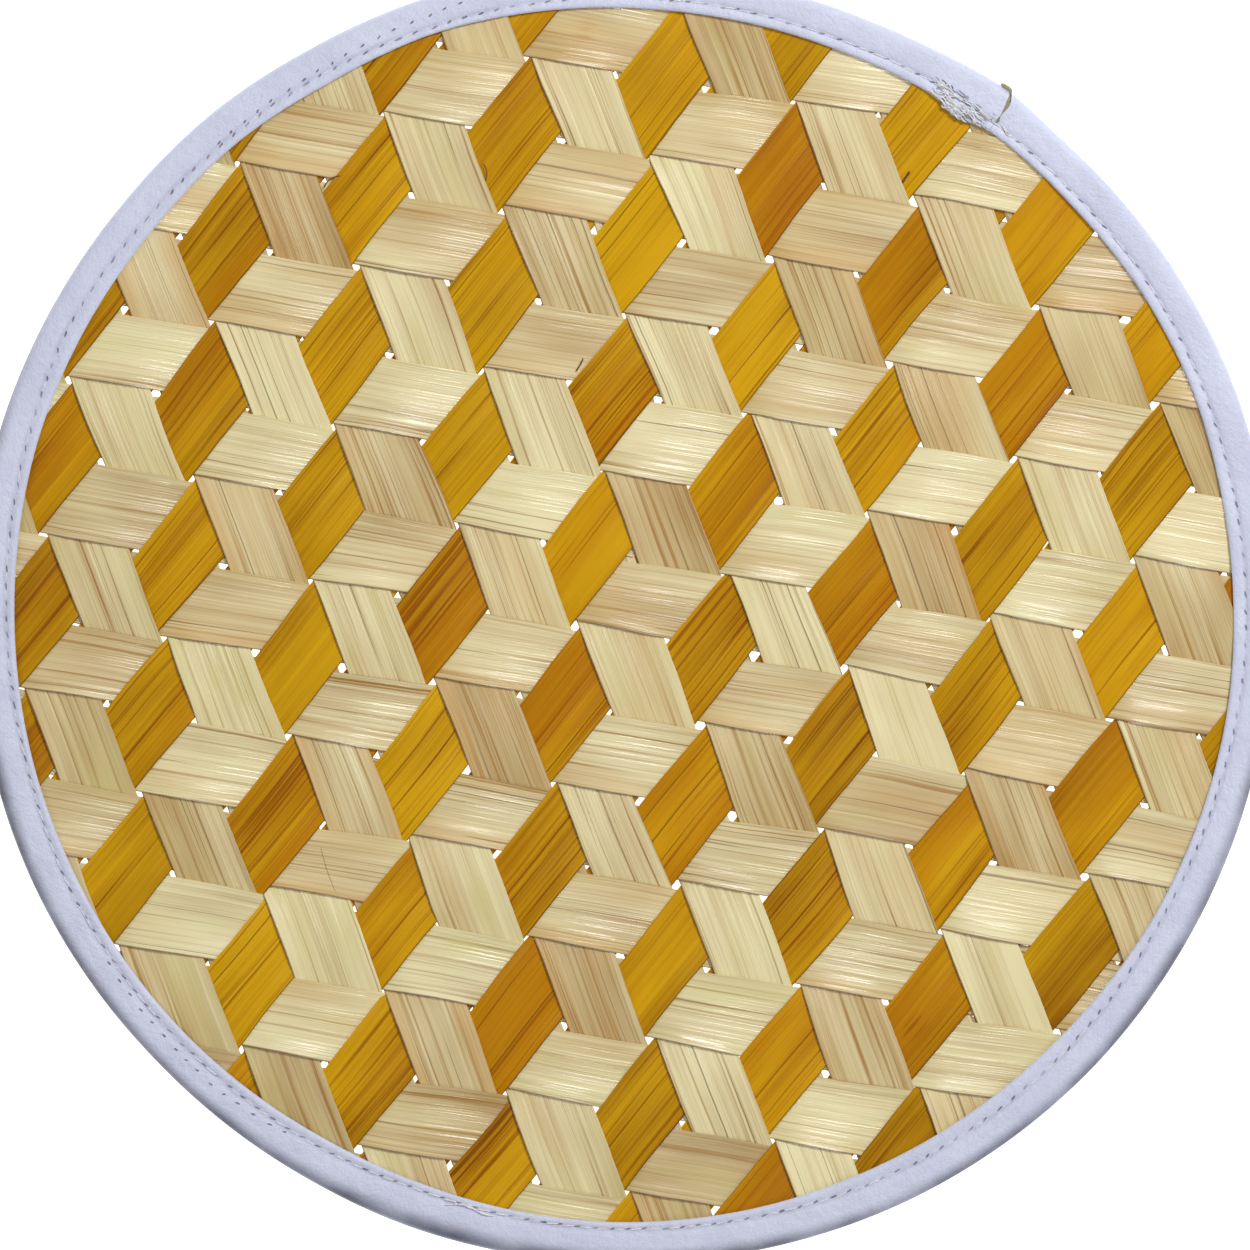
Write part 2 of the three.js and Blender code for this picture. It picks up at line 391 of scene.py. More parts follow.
def wander(rng, shortest, longest, waves=6):
    """A smooth random course: a function of the distance, mostly from -1 to 1"""
    lengths = np.geomspace(shortest, longest, waves)
    starts = rng.uniform(0, math.tau, waves)
    sizes = rng.uniform(0.5, 1, waves) * np.sqrt(lengths / lengths.max())
    sizes /= sizes.sum() / 1.5
    return lambda distance: sum(
        size * np.sin(math.tau * distance / length + start)
        for size, length, start in zip(sizes, lengths, starts)
    )


def grid_faces(rows, columns):
    """Square faces between the points of a grid, numbered row by row"""
    start = (np.arange(rows - 1)[:, None] * columns + np.arange(columns - 1)).ravel()
    return np.stack((start, start + 1, start + columns + 1, start + columns), axis=1)


def new_piece(name, points, faces, material):
    """An object with that mesh, alone selected"""
    mesh = bpy.data.meshes.new(name)
    mesh.from_pydata(points, [], faces)
    mesh.materials.append(material)
    piece = bpy.data.objects.new(name, mesh)
    bpy.context.scene.collection.objects.link(piece)
    bpy.ops.object.select_all(action="DESELECT")
    bpy.context.view_layer.objects.active = piece
    piece.select_set(True)
    return piece


def sheet_piece(name, points, flat, material, thickness, looks=None):
    """A thin sheet through a grid of points that are its middle, with its flat places as a UV map"""
    rows, columns = points.shape[:2]
    faces = grid_faces(rows, columns)
    piece = new_piece(name, points.reshape(-1, 3), faces.tolist(), material)
    layer = piece.data.uv_layers.new(name="flat")
    layer.data.foreach_set("uv", flat.reshape(-1, 2)[faces.ravel()].ravel())
    for key, value in (looks or {}).items():
        attribute = piece.data.attributes.new(key, "FLOAT", "POINT")
        attribute.data.foreach_set("value", np.broadcast_to(value, (rows, columns)).ravel())
    solidify = piece.modifiers.new("Thickness", "SOLIDIFY")
    solidify.thickness = thickness
    solidify.offset = 0
    solidify.use_even_offset = True
    bpy.ops.object.modifier_apply(modifier=solidify.name)
    bpy.ops.object.shade_smooth_by_angle(angle=math.radians(SHEET_BEND))
    return piece


def shell_piece(name, shells, material):
    """Closed shells, each as points and faces, as one mesh that rides on the mat"""
    starts = np.cumsum([0] + [len(points) for points, _ in shells])
    polygons = [[start + i for i in face] for start, (_, faces) in zip(starts, shells) for face in faces]
    piece = new_piece(name, np.concatenate([points for points, _ in shells]), polygons, material)
    bpy.ops.object.mode_set(mode="EDIT")
    bpy.ops.mesh.select_all(action="SELECT")
    bpy.ops.mesh.normals_make_consistent(inside=False)
    bpy.ops.object.mode_set(mode="OBJECT")
    bpy.ops.object.shade_smooth_by_angle(angle=math.radians(SHELL_BEND))
    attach(piece, "root")
    return piece


# How thick a tube is at its ends, where 1 is its thickness between them
TUBE_END = 0.45


def tube(path, width, height, sides=6):
    """Points and faces of a closed tube, its ends drawn in, along a path that runs nowhere upright"""
    forward = np.gradient(path, axis=0)
    side = np.cross(forward, (0, 0, 1))
    side /= np.linalg.norm(side, axis=1)[:, None]
    up = np.cross(side, forward)
    up /= np.linalg.norm(up, axis=1)[:, None]
    thick = np.ones((len(path), 1, 1))
    thick[[0, -1]] = TUBE_END
    turn = math.tau * np.arange(sides)[:, None] / sides
    ring = width / 2 * np.cos(turn) * side[:, None] + height / 2 * np.sin(turn) * up[:, None]
    points = (path[:, None] + thick * ring).reshape(-1, 3)
    start = np.arange(len(path) - 1)[:, None] * sides
    near, far = np.arange(sides), (np.arange(sides) + 1) % sides
    faces = np.stack((start + near, start + far, start + sides + far, start + sides + near), axis=2)
    ends = [list(near), list(near + (len(path) - 1) * sides)]
    return points, faces.reshape(-1, 4).tolist() + ends


# A strip's points across and along, how far it keeps inside the weave's rim, how near the rim its edges are
# straight, how far a brown band reaches across it, and what keeps the seeds positive
STRIP_COLUMNS = 11
STRIP_ROW = 1.5 * MM
WITHIN_RIM = 1 * MM
STRAIGHT_RIM = 4 * MM
BAND_REACH = 0.18
FIRST_SEED = 20


def marks_on(family, points):
    """How dark with streaks and how brown the stains make a strip of the family at those points"""
    dark, brown = 0.0, 0.0
    for name, x, y, length, width, stain_dark, stain_brown in STAINS:
        if name == family.name:
            away = points - np.array((x, y)) * MM
            x, y = away @ family.along / (length / 2 * MM), away @ family.sideways / (width / 2 * MM)
            reach = np.hypot(x, y)
            dark, brown = dark + stain_dark * bell(reach), brown + stain_brown * bell(reach)
    return dark, brown


def stray_edge(family, line, side, along, settings):
    """How far the edge of a strip lies beside its place. Both strips at a line stray with it, so the space
    between them stays open."""
    if abs(family.line_offset(line)) > WEAVE_RADIUS - STRAIGHT_RIM:
        return 0 * along
    seed = line + FIRST_SEED
    rng = np.random.default_rng([list(FAMILIES).index(family.name), seed])
    stray = settings.stray * wander(rng, 50 * MM, 500 * MM)(along)
    space = 0.35 * settings.space * wander(rng, 30 * MM, 300 * MM)(along)
    rough = 0.06 * MM * wander(np.random.default_rng([seed, side + 1]), 4 * MM, 30 * MM)(along)
    return stray + side * (space + rough)


def woven_strip(family, number, settings, material):
    """One strip, trimmed round at both ends and bent over and under the strips that it crosses"""
    order = number - family.first
    node = f"{family.name}_strip_{order + 1:02d}"
    low = max(family.line_offset(number) + settings.space / 2, WITHIN_RIM - WEAVE_RADIUS)
    high = min(family.line_offset(number + 1) - settings.space / 2, WEAVE_RADIUS - WITHIN_RIM)
    nearest = 0 if low * high < 0 else min(abs(low), abs(high))
    length = 2 * math.sqrt(WEAVE_RADIUS**2 - nearest**2)
    rows = round(length / STRIP_ROW)
    part = np.linspace(0, 1, STRIP_COLUMNS)
    sideways = low + part * (high - low)
    reach = np.sqrt(WEAVE_RADIUS**2 - sideways**2)
    along = np.linspace(-1, 1, rows)[:, None] * reach
    moved = sideways + (1 - part) * stray_edge(family, number, 1, along, settings)
    moved += part * stray_edge(family, number + 1, -1, along, settings)
    points = family.points(along, moved)
    height = strip_heights(family, number, points.reshape(-1, 2), settings.contact).reshape(along.shape)
    own_grain = (1.7 * order + 0.31 * number, 0.13 * order)
    flat = np.dstack(np.broadcast_arrays(along, sideways)) + own_grain
    looks = dict(zip(("tone", "warmth", "streaks"), STRIP_LOOKS[family.name][order]))
    dark, brown = marks_on(family, points)
    first_band, last_band = BANDS.get((family.name, order + 1), (0, 0))
    bands = first_band * bell(part, BAND_REACH) + last_band * bell(1 - part, BAND_REACH)
    looks["warmth"] += brown + 1.5 * bands
    looks["knot"] = dark + 0.3 * bands
    # Painted shadow line: the cut edge on the side away from the light gets the brown edge colour, the other
    # edge none
    edges = np.array((1.0, -1.0))[:: 1 - 2 * SHADOW_LINE_SIDE[family.name]]
    looks["rim"] = np.concatenate((edges[:1], np.zeros(STRIP_COLUMNS - 2), edges[1:]))
    points = np.dstack((points, MIDDLE_HEIGHT + height))
    piece = sheet_piece(f"woven_{node}", points, flat, material, settings.thickness, looks)
    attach(piece, "root")
    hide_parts(node)
    return piece


# Materials

# Kinds of node: the type without its first word, and the settings that go with it
PLACE = ("TexCoord", {})
FLAT_PLACE = ("UVMap", {"uv_map": "flat"})
FLAT_TANGENT = ("Tangent", {"direction_type": "UV_MAP", "uv_map": "flat"})
ATTRIBUTE = ("Attribute", {})
MAPPING = ("Mapping", {})
PARTS = ("SeparateXYZ", {})
NOISE = ("TexNoise", {})
CELLS = ("TexVoronoi", {})
RANGE = ("MapRange", {})
SMOOTH_RANGE = ("MapRange", {"interpolation_type": "SMOOTHSTEP"})
MIX = ("Mix", {"data_type": "RGBA"})
SCALE = ("VectorMath", {"operation": "SCALE"})
BUMP = ("Bump", {})
ADD, SUBTRACT, MULTIPLY, MULTIPLY_ADD, DIVIDE, POWER, WRAP, ABSOLUTE, COSINE = (
    ("Math", {"operation": name}) for name in (
        "ADD", "SUBTRACT", "MULTIPLY", "MULTIPLY_ADD", "DIVIDE", "POWER", "WRAP", "ABSOLUTE", "COSINE",
    )
)
COMPARE, GREATER, LESS, MAXIMUM = (
    ("Math", {"operation": name}) for name in ("COMPARE", "GREATER_THAN", "LESS_THAN", "MAXIMUM")
)


def give(tree, socket, value):
    """Gives a socket a plain value or another node's output. None leaves it as it is."""
    if isinstance(value, bpy.types.NodeSocket):
        tree.links.new(value, socket)
    elif value is not None:
        socket.default_value = (*value, 1) if socket.type == "RGBA" else value


def add_node(tree, kind, *inputs, **settings):
    """Adds a node with its settings and inputs, in the order of its sockets, and gives its first output"""
    node = tree.nodes.new("ShaderNode" + kind[0])
    for name, value in {**kind[1], **settings}.items():
        setattr(node, name, value)
    for socket, value in zip([socket for socket in node.inputs if socket.enabled], inputs):
        give(tree, socket, value)
    return next((socket for socket in node.outputs if socket.enabled), None)


def new_material(name):
    """A material without nodes, and the function that adds them"""
    material = bpy.data.materials.new(name)
    material.use_nodes = True
    material.node_tree.nodes.clear()
    return material, functools.partial(add_node, material.node_tree)


def finished(material, inputs):
    """The material with its shader, which has those inputs"""
    shader = add_node(material.node_tree, ("BsdfPrincipled", {}))
    for name, value in inputs.items():
        give(material.node_tree, shader.node.inputs[name], value)
    add_node(material.node_tree, ("OutputMaterial", {}), shader)
    return material


def stripes(add, place, width, length, level, detail=1.0):
    """Noise in stripes of that width and length in millimetres along the strip, its own at each level"""
    drawn = add(MAPPING, place, (0, 0, level), None, (1 / (length * MM), 1 / (width * MM), 1))
    return add(NOISE, drawn, 1.0, detail, 0.55)


# What makes bamboo darker in stripes: their width and length in millimetres, their level in the noise, how
# much finer noise they hold, and how strong they are. Clouds come first, then bundles of fibres, and then
# single fibres, drawn 0.3 mm wide to show.
GRAIN = [
    (15, 50, 36.4, 2.0, 1.5),
    (4, 300, 0.0, 1.0, 0.4),
    (1, 240, 3.1, 1.0, 0.65),
    (0.3, 110, 6.7, 1.0, 0.5),
]

# What else runs along a strip: streaks in stains, thin dark lines, redder and greener patches, a few splits
# and wax. The columns are the look that brings it out and how much, four as in GRAIN, the values of the
# noise from which and up to which it grows, and how strong it gets.
PATTERNS = {
    "stained": ("knot", 0.2, 0.8, 90, 27.5, 1.0, 0.58, 0.78, 0.7),
    "lined": ("streaks", 0.1, 0.3, 80, 12.3, 1.0, 0.62, 0.8, 0.4),
    "warm": ("warmth", 0.3, 12, 60, 9.4, 3.0, 0.42, 0.9, 0.6),
    "green": ("warmth", -0.3, 7, 40, 22.4, 3.0, 0.42, 0.9, 0.6),
    "split": ("streaks", 0.06, 0.55, 130, 31.6, 0.0, 0.8, 0.825, 0.6),
    "waxy": ("tone", 0.06, 15, 50, 41.2, 1.0, 0.36, 0.58, 1.0),
}

# The share of the deeper colour in bamboo of tone 0, and how much each step of tone adds
MIDDLE_DEPTH = 0.33
DEPTH_A_TONE = -0.17


def bamboo(name, colours, contrast, gloss, shine):
    """Split and planed bamboo: pale and darker fibres, thin brown lines and a few splits along the strip,
    waxy patches whose ridges throw the light back in fine lines, and a painted shadow line, in the brown of
    a cut edge, along the edge that faces away from the light"""
    material, add = new_material(name)
    pale, deep, warm, green, edge = colours
    place = add(FLAT_PLACE)
    looks = {
        key: add(ATTRIBUTE, attribute_name=key).node.outputs["Fac"]
        for key in ("tone", "warmth", "streaks", "knot", "rim")
    }
    # cut: a painted shadow line in the brown of a cut edge, along the strip's edge on the side away from the
    # light
    shown = {"cut": add(SMOOTH_RANGE, looks["rim"], 0.75, 1.0, 0.0, 0.85)}
    for pattern, (look, share, width, length, level, detail, low, high, most) in PATTERNS.items():
        value = add(MULTIPLY_ADD, looks[look], share, stripes(add, place, width, length, level, detail))
        shown[pattern] = add(SMOOTH_RANGE, value, low, high, 0.0, most)

    middle = MIDDLE_DEPTH - contrast * sum(row[-1] for row in GRAIN) / 2
    depth = add(MULTIPLY_ADD, looks["tone"], DEPTH_A_TONE, middle)
    for *row, weight in GRAIN:
        depth = add(MULTIPLY_ADD, stripes(add, place, *row), weight * contrast, depth)
    depth = add(ADD, add(ADD, depth, shown["stained"]), shown["lined"])
    colour = add(MIX, depth, pale, deep)
    for pattern, shade in (("warm", warm), ("green", green), ("split", edge), ("cut", edge)):
        colour = add(MIX, shown[pattern], colour, shade)

    # Where there is wax the skin is smooth in stripes 0.5 mm wide, so its sheen falls in fine bright lines
    skin = add(SMOOTH_RANGE, stripes(add, place, 0.5, 200, 15.8), 0.42, 0.6, 1.0, 0.0)
    skin = add(MULTIPLY, skin, shown["waxy"])
    relief = add(MULTIPLY_ADD, shown["split"], -0.15, stripes(add, place, 0.42, 300, 18.2))
    strength = add(RANGE, shown["waxy"], 0.0, 1.0, 0.3, 1.0)
    return finished(material, {
        "Base Color": colour,
        "Roughness": add(RANGE, skin, 0.0, 1.0, gloss + 0.3, gloss),
        "Anisotropic": 0.5,
        "Anisotropic Rotation": 0.25,
        "Specular IOR Level": shine,
        "Tangent": add(FLAT_TANGENT),
        "Normal": add(BUMP, strength, 0.09 * MM, None, relief),
    })


def polished_bamboo(settings):
    """Natural bamboo with its waxy outer skin: pale cream, with a streaky white sheen"""
    colours = (settings.natural, settings.natural_deep, *map(linear, ("#D4AE68", "#D8CE88", "#6A3C0C")))
    return bamboo("polished_natural_bamboo", colours, contrast=1.0, gloss=0.16, shine=0.75)


def plain_bamboo(settings):
    """Natural bamboo split below its skin: beige, with more grain and a duller sheen"""
    colours = (settings.natural, settings.natural_deep, *map(linear, ("#D0A868", "#D3C781", "#5C340C")))
    return bamboo("planed_natural_bamboo", colours, contrast=0.85, gloss=0.26, shine=0.5)


def gold_bamboo(settings):
    """Bamboo dyed gold: the dye takes unevenly along the grain, from yellow to deep orange brown"""
    colours = (settings.gold, settings.gold_deep, *map(linear, ("#B46A00", "#CE9E0A", "#5A3200")))
    return bamboo("dyed_gold_bamboo", colours, contrast=1.0, gloss=0.3, shine=0.1)


class Undoable:
    """What all operators of the add-on share"""

    bl_options = {"REGISTER", "UNDO"}


class FamilyOperator(Undoable):
    """Weaves the strips of one family"""

    def execute(self, context):
        settings = context.scene.placemat_weave
        family = FAMILIES[self.family]
        material = self.finish(settings)
        for number in range(family.first, family.last + 1):
            woven_strip(family, number, settings, material)
        return {"FINISHED"}


class PLACEMAT_OT_level_strips(FamilyOperator, Operator):
    """Weaves the level strips, of natural bamboo with its glossy skin"""

    bl_idname = "placemat.level_strips"
    bl_label = "Level Strips"
    family = "level"
    finish = staticmethod(polished_bamboo)


class PLACEMAT_OT_steep_strips(FamilyOperator, Operator):
    """Weaves the steep strips, of planed natural bamboo"""

    bl_idname = "placemat.steep_strips"
    bl_label = "Steep Strips"
    family = "steep"
    finish = staticmethod(plain_bamboo)


class PLACEMAT_OT_gold_strips(FamilyOperator, Operator):
    """Weaves the gold strips, of dyed bamboo"""

    bl_idname = "placemat.gold_strips"
    bl_label = "Gold Strips"
    family = "gold"
    finish = staticmethod(gold_bamboo)


# Loose fibres and splinters on the weave: the place, the length and the thickness in millimetres, the way
# that it points and how far it turns, in degrees
LOOSE_FIBRES = [
    (65.3, 101.4, 3.0, 0.5, 57, 0),
    (-31.6, 102.6, 4.5, 0.25, 95, 70),
    (-67.8, 100.9, 5.0, 0.25, 40, -80),
    (-10.1, 57.9, 3.5, 0.35, 60, 10),
    (-68.5, -58.8, 11.0, 0.08, -72, 12),
]
FIBRE_STEPS = 12


def top_height(points, contact):
    """Height over the mat's middle plane of the strip that lies on top at flat points"""
    levels = weave_levels(*grid_place(points))
    heights = [
        strip_heights(family, np.floor(family.line_value(points)), points, contact) * (levels[name] == 1)
        for name, family in FAMILIES.items()
    ]
    return sum(heights)


def bamboo_fibre():
    """A dry fibre torn from a strip: brown and dull"""
    material, add = new_material("torn_bamboo_fibre")
    mottle = add(NOISE, add(PLACE).node.outputs["Object"], 1 / (1 * MM), 2.0)
    return finished(material, {
        "Base Color": add(MIX, mottle, linear("#4A1E08"), linear("#7A4A1C")),
        "Roughness": 0.6,
    })


class PLACEMAT_OT_loose_fibres(Undoable, Operator):
    """Strews the few torn fibres that lie on the weave"""

    bl_idname = "placemat.loose_fibres"
    bl_label = "Loose Fibres"

    def execute(self, context):
        settings = context.scene.placemat_weave
        shells = []
        for x, y, length, thick, way, bend in LOOSE_FIBRES:
            turn = np.radians(way + bend * np.linspace(-0.5, 0.5, FIBRE_STEPS + 1))
            steps = length * MM / FIBRE_STEPS * np.stack((np.cos(turn), np.sin(turn)), axis=1)
            flat = np.cumsum(steps, axis=0)
            flat += np.array((x, y)) * MM - flat[FIBRE_STEPS // 2]
            height = top_height(flat, settings.contact) + settings.thickness / 2 + thick * MM / 3
            shells.append(tube(np.column_stack((flat, MIDDLE_HEIGHT + height)), thick * MM, thick * MM))
        shell_piece("loose_bamboo_fibres", shells, bamboo_fibre())
        return {"FINISHED"}


# The edge tape

# The tape as sewn, anticlockwise from the right-hand side: degrees, its outer and inner edge from the mat's
# middle and the seam from the inner edge in millimetres, and how far the thread shows, 0 to 1
COURSE = ("degrees", "outer", "inner", "seam", "thread")
SEWN_COURSE = [
    (0, 150.2, 141.1, 2.8, 0.1),
    (13, 150.7, 141.1, 2.7, 0.1),
    (22, 150.8, 141.6, 2.2, 0.2),
    (33, 150.3, 141.2, 2.4, 0.5),
    (42, 149.9, 140.5, 2.1, 0.7),
    (48, 149.6, 140.6, 1.9, 0.6),
    (54, 150.7, 140.4, 2.1, 1.0),
    (61, 149.3, 140.1, 2.4, 1.0),
    (69, 148.8, 139.9, 2.2, 1.0),
    (85, 149.2, 140.3, 2.4, 0.9),
    (99, 149.8, 141.2, 1.9, 0.2),
    (108, 150.0, 141.7, 1.3, 0.0),
    (119, 149.7, 140.7, 2.5, 0.0),
    (129, 150.2, 141.3, 1.8, 0.0),
    (140, 149.9, 140.7, 2.6, 0.0),
    (153, 150.1, 141.1, 3.5, 0.0),
    (163, 150.4, 141.4, 2.2, 0.1),
    (180, 150.2, 140.9, 1.8, 0.2),
    (195, 149.9, 140.7, 1.4, 0.5),
    (205, 149.8, 140.3, 2.4, 0.8),
    (224, 149.1, 140.1, 2.1, 0.5),
    (241, 149.2, 139.3, 2.2, 0.6),
    (250, 149.6, 139.4, 1.4, 0.8),
    (268, 149.6, 140.3, 1.4, 0.6),
    (283, 149.9, 140.4, 1.9, 0.6),
    (295, 150.3, 140.2, 3.0, 0.4),
    (316, 150.6, 140.3, 3.1, 0.2),
    (329, 150.4, 141.0, 1.8, 0.1),
    (343, 150.3, 141.3, 1.8, 0.1),
    (354, 150.2, 141.4, 2.5, 0.1),
]

# The tape's length along its middle line, the length of the seam, and how many rows of points a stitch has
SEAM_LENGTH = 896 * MM
ROWS_A_STITCH = 5

# Where the tape's ends meet, and how they are cut: the way in from the outer edge, and how far clockwise of
# the joint's line the upper layer of the first and of the last end lies, in millimetres. They gape at the
# fold and at the seam.
JOINT_ANGLE = math.radians(53.5)
JOINT_CUT = [
    (0.0, 0.00, 0.15), (0.9, 0.15, 0.8), (2.1, 0.4, 1.6), (3.4, 0.75, 1.7), (5.6, 1.3, 1.4), (6.2, 1.3, 1.5),
    (7.0, 1.1, 2.0), (7.7, 1.2, 1.7), (8.5, 1.3, 1.4),
]

# Beside the joint the inner edge is drawn inwards and chewed by the needle: the way there from the joint,
# half the length of it, how far, and how deep its teeth are
CHEWED_MIDDLE = 7.6 * MM
CHEWED_REACH = 4.6 * MM
CHEWED_DEPTH = 1.9 * MM
CHEWED_TEETH = 0.35 * MM

# Creases in the upper layer: from and to, each as the way clockwise from the joint and inwards from the
# outer edge, how high, and how wide they all are, in millimetres
CREASES = [
    (1.8, 7.0, 6.0, 2.6, 0.16),
    (1.7, 4.6, 4.6, 1.4, 0.12),
    (2.6, 7.6, 8.5, 5.2, 0.14),
    (-0.8, 6.6, -4.2, 3.4, 0.14),
    (-1.0, 7.2, -6.5, 6.0, 0.16),
]
CREASE_REACH = 0.5

# Needle marks that an earlier seam left: from and to in degrees, and how far outside the seam they are at
# either end in millimetres
NEEDLE_ROWS = [
    (97, 118, 4.9, 1.4),
    (118, 132, 1.4, 0.9),
    (213, 229, 1.3, 2.5),
    (229, 238, 2.5, 1.2),
]

# The height of the tape's upper face over the mat's middle plane, from its inner edge outwards. The edge is
# a soft roll, and the seam at 2.3 mm presses the face down.
TAPE_FACE = [
    (0.0, 1.42), (0.15, 1.62), (0.45, 1.76), (0.9, 1.81), (1.4, 1.77), (1.8, 1.66), (2.3, 1.52), (2.8, 1.6),
    (3.3, 1.69), (4.0, 1.75), (4.8, 1.78), (5.7, 1.79), (6.6, 1.78), (7.6, 1.75),
]
FACE_SEAM = 2.3 * MM

# The places of the upper face that the lower one has too, from the outer edge inwards
LOWER_FACE = [12, 10, 8, 6, 5, 3, 0]

# How unevenly the stitches stand, except near the joint, how high the face ripples and, where it is chewed,
# lumps, and how deep the seam presses it and how far
UNEVEN_STITCHES = 0.7 * MM
EVEN_ENDS = 20 * MM
RIPPLE = 0.05 * MM
LUMPS = 0.7 * MM
PRESS_DEPTH = 0.08 * MM
PRESS_REACH = 0.8 * MM

# How many stitches from the joint have finer rows of points, and how fine, how far the joint's cut is felt,
# and how far its lower layer gapes
FINE_STITCHES = 4
FINE_STEP = 0.08
JOINT_REACH = 5 * MM
LOWER_GAP = 0.12 * MM


@functools.lru_cache
def smooth_course(column):
    """A column of SEWN_COURSE at every half degree, without its corners"""
    table = np.array(SEWN_COURSE)
    fine = np.interp(np.arange(-8, 728) / 2, table[:, 0], table[:, COURSE.index(column)], period=360)
    weights = np.hanning(17)
    return np.convolve(fine, weights / weights.sum(), "valid")


def stitch_at(degrees, stitches):
    """The place along the tape, in stitches from the joint, at an angle from the mat's right-hand side"""
    return (math.radians(degrees) - JOINT_ANGLE) % math.tau / math.tau * stitches


def round_place(radius, angle, height):
    """Points at that distance and angle from the middle of the mat, and height over its middle plane"""
    return np.stack((radius * np.cos(angle), radius * np.sin(angle), MIDDLE_HEIGHT + height), axis=-1)


def distance_to_line(x, y, start, end):
    """From points to a straight line between two places"""
    way = np.subtract(end, start)
    part = np.clip(((x - start[0]) * way[0] + (y - start[1]) * way[1]) / (way @ way), 0, 1)
    return np.hypot(x - start[0] - part * way[0], y - start[1] - part * way[1])


class Tape:
    """Where the tape's surface and its seam run. A place along it is counted in stitches from the joint,
    and one across it is the way out from its inner edge."""

    def __init__(self, settings):
        rng = np.random.default_rng(41)
        self.settings = settings
        self.stitches = round(SEAM_LENGTH / settings.stitch)
        self.uneven = wander(rng, 14 * MM, 60 * MM)
        self.ripple_a = wander(rng, 5 * MM, 60 * MM)
        self.ripple_b = wander(rng, 4 * MM, 40 * MM)
        self.chewed = wander(rng, 1.1 * MM, 5 * MM)

    def way(self, stitch):
        """The way round from the joint along the seam, on which no two stitches are equally long"""
        even = stitch / self.stitches * SEAM_LENGTH
        ends = np.clip(np.minimum(even, SEAM_LENGTH - even) / EVEN_ENDS, 0, 1)
        return even + UNEVEN_STITCHES * self.uneven(even) * ends

    def angle(self, stitch):
        """The angle of a place, from the mat's right-hand side"""
        return JOINT_ANGLE + self.way(stitch) / SEAM_LENGTH * math.tau

    def course(self, column, stitch):
        """A column of SEWN_COURSE at a place"""
        values = smooth_course(column)
        return np.interp(np.degrees(self.angle(stitch)), np.arange(len(values)) / 2, values, period=360)

    def near_chewed(self, stitch):
        """How near a place along the tape is to the middle of the chewed edge, up to 1"""
        return bell(self.way(stitch) - CHEWED_MIDDLE, CHEWED_REACH)

    def inner(self, stitch):
        """The inner edge's radius"""
        chewed = self.near_chewed(stitch) * (CHEWED_DEPTH + CHEWED_TEETH * self.chewed(self.way(stitch)))
        return self.course("inner", stitch) * MM - chewed

    def seam(self, stitch):
        """From the inner edge to the seam"""
        return self.course("seam", stitch) * MM + self.near_chewed(stitch) * CHEWED_DEPTH

    def height(self, stitch, outward):
        """Height of the sheet's middle over the mat's middle plane"""
        from_edge, heights = np.array(TAPE_FACE).T * MM
        seam = self.seam(stitch)
        beyond = outward - seam
        even = np.where(beyond < 0, outward * FACE_SEAM / seam,
                        outward + (FACE_SEAM - seam) * np.exp(-beyond / (2 * MM)))
        height = np.interp(even, from_edge, heights)
        way = self.way(stitch)
        ripple = RIPPLE * (self.ripple_a(way + 0.8 * outward) + self.ripple_b(way - 1.3 * outward))
        lumps = self.chewed(way * 0.7 + 2 * outward) * self.chewed(way * 0.5 - 2.3 * outward)
        height = height - PRESS_DEPTH * bell(beyond, PRESS_REACH) * (1.4 + np.cos(math.tau * stitch))
        height = height + ripple * np.clip(outward / (2 * MM), 0.2, 1)
        height = height + LUMPS * lumps * self.near_chewed(stitch) * (outward < seam + 1 * MM)
        from_joint = np.where(stitch < self.stitches / 2, -way, SEAM_LENGTH - way) / MM
        inset = (self.course("outer", stitch) * MM - self.inner(stitch) - outward) / MM
        for first_x, first_y, last_x, last_y, rise in CREASES:
            reach = distance_to_line(from_joint, inset, (first_x, first_y), (last_x, last_y))
            height = height + rise * MM * bell(reach, CREASE_REACH)
        return height - self.settings.thickness / 2

    def face_point(self, stitch, outward, lift):
        """A point over the tape's upper face"""
        angle, radius = self.angle(stitch), self.inner(stitch) + outward
        height = self.height(stitch, outward) + self.settings.thickness / 2 + lift
        return round_place(radius, angle, height)


